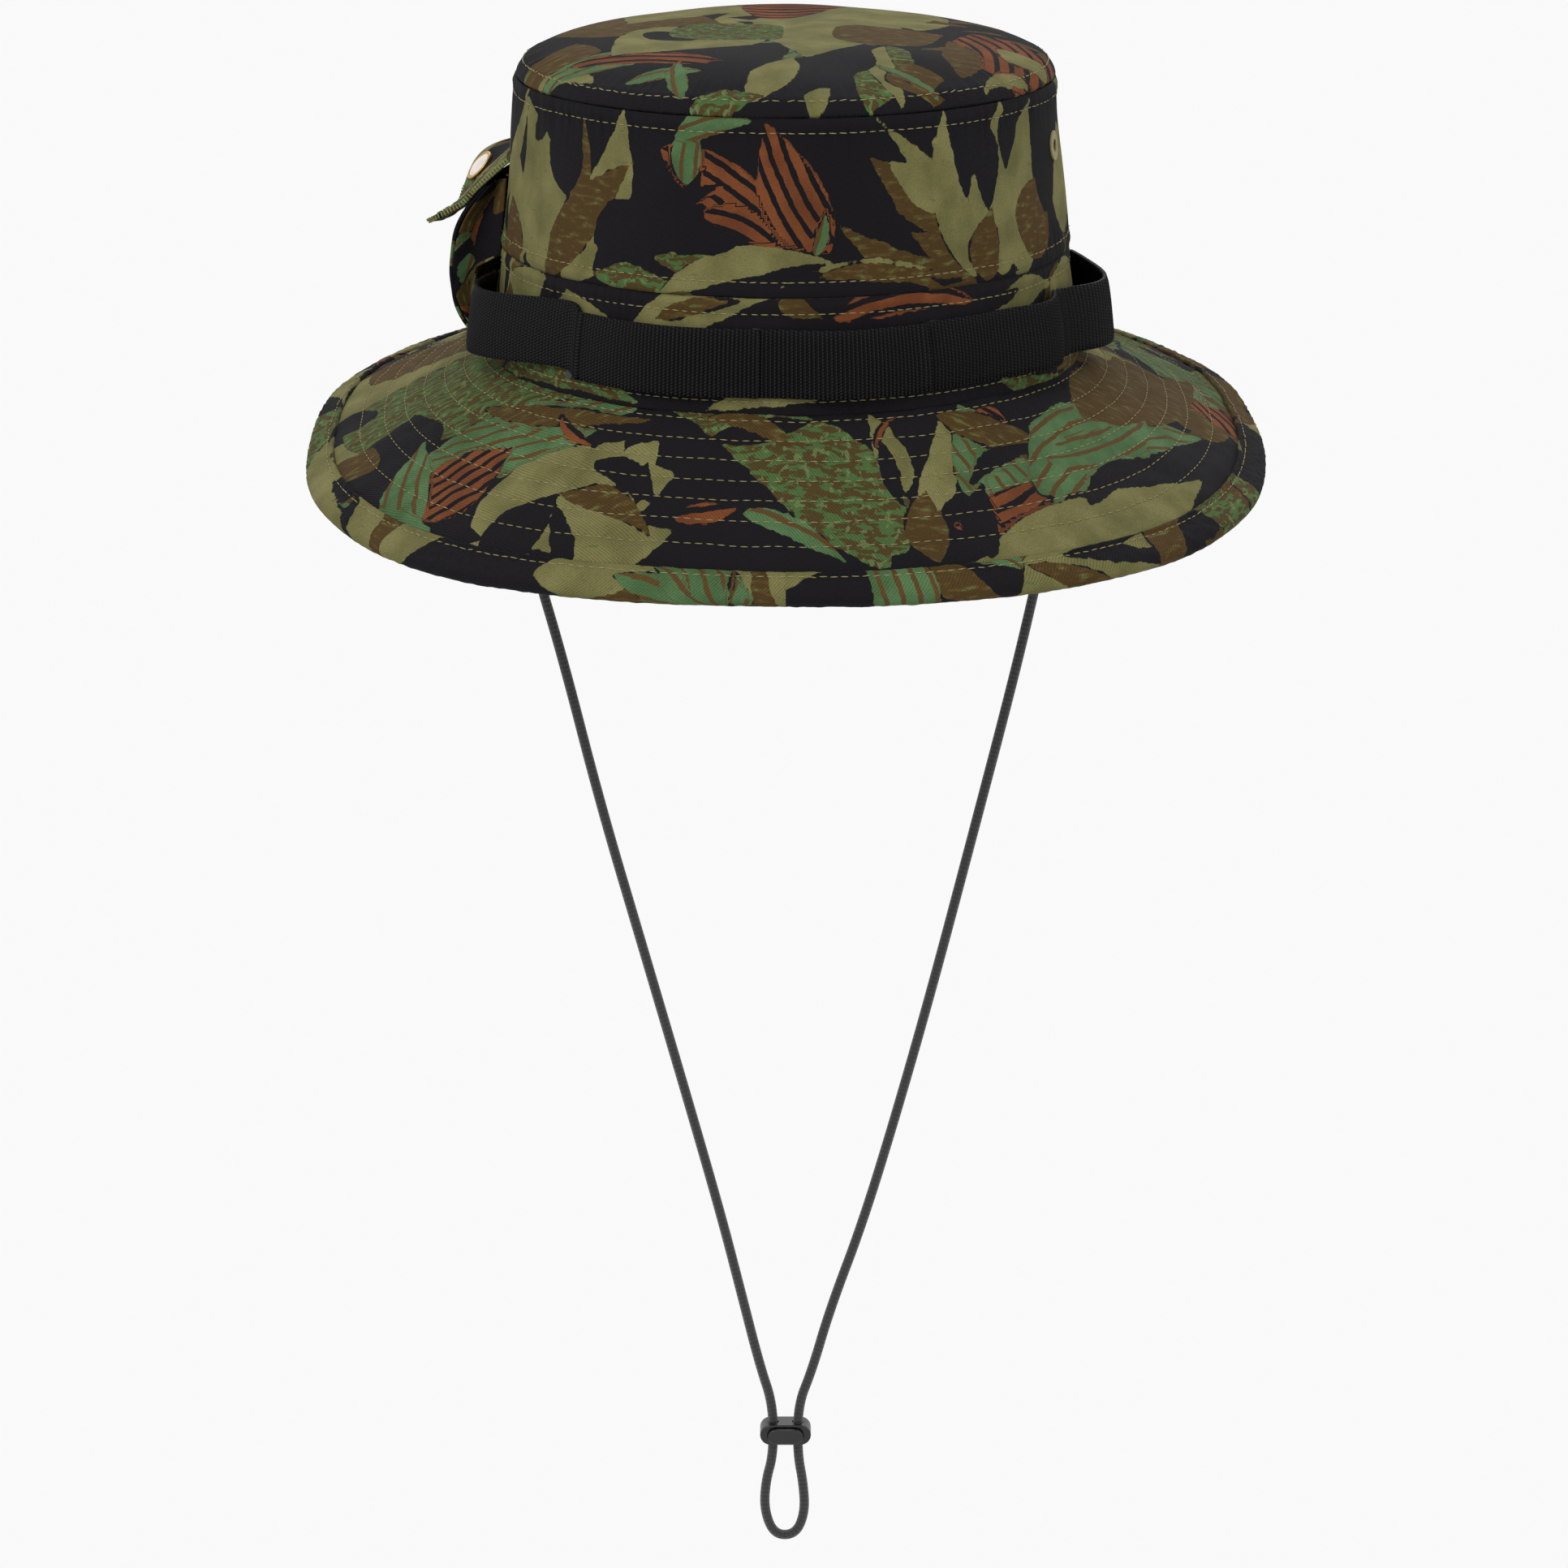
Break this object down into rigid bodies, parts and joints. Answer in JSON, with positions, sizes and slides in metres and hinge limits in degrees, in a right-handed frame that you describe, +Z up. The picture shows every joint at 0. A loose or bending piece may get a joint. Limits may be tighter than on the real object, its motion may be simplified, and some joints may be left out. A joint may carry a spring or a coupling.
{
  "type": "boonie hat",
  "caption": "Wide-brimmed soft field hat with an oval crown, webbing band, snapped side pocket, vents and a chin cord with a sliding lock.",
  "frame": {"origin": "centre of the head opening, in the plane where the crown is sewn to the brim", "axes": "+Z up out of the crown, front of the hat towards -Y, the pocket on the -X side"},
  "size_m": [0.3009, 0.3155, 0.5076],
  "materials": {
    "leaf_cloth": "printed cotton, matt",
    "stiffener": "woven interlining",
    "sweatband": "cotton twill",
    "tape": "cotton tape",
    "label": "blank woven label",
    "webbing": "black ribbed nylon webbing",
    "thread": "olive sewing thread",
    "snap_face": "pearl enamel",
    "snap_metal": "satin brass",
    "cord": "black braided nylon",
    "lock_plastic": "black moulded nylon",
    "spring_steel": "plain wire"
  },
  "bodies": {
    "hat": {"crown_tip": "leaf_cloth", "crown_wall_front": "leaf_cloth", "crown_wall_rear": "leaf_cloth", "lower_band_front": "leaf_cloth", "lower_band_rear": "leaf_cloth", "brim_upper": "leaf_cloth", "brim_interlining": "stiffener", "brim_lower": "leaf_cloth", "brim_binding": "leaf_cloth", "sweatband": "sweatband", "seam_tape_left": "tape", "seam_tape_right": "tape", "size_label": "label", "foliage_band": "webbing", "web_tacks": "thread", "vent_eyelets": "thread", "pocket_panel": "leaf_cloth", "pocket_gusset": "leaf_cloth", "snap_stud": "snap_metal", "snap_post": "snap_metal", "cord_tab_left": "webbing", "cord_tab_right": "webbing", "chin_cord_left": "cord", "chin_cord_right": "cord"},
    "pocket_flap": {"flap_outer": "leaf_cloth", "flap_lining": "leaf_cloth", "snap_cap": "snap_face", "snap_socket": "snap_metal"},
    "cord_lock": {"lock_body": "lock_plastic", "lock_spring": "spring_steel", "chin_cord_loop": "cord"},
    "lock_button": {"lock_button": "lock_plastic"}
  },
  "joints": [
    {"name": "pocket_flap_lift", "type": "hinge", "parent": "hat", "child": "pocket_flap", "pos_m": [-0.08527, 0.01996, 0.061], "axis": [0.1888, 0.982, 0], "range_deg": [0, 115]},
    {"name": "cord_lock_slide", "type": "slide", "parent": "hat", "child": "cord_lock", "axis": [0, 0, 1], "range_m": [0, 0.2], "deforming": ["chin_cord_left", "chin_cord_right"]},
    {"name": "lock_button_press", "type": "slide", "parent": "cord_lock", "child": "lock_button", "axis": [0, 1, 0], "range_m": [0, 0.0016], "stiffness_N_per_m": 600, "springref_m": -0.002, "deforming": ["lock_spring"]}
  ]
}
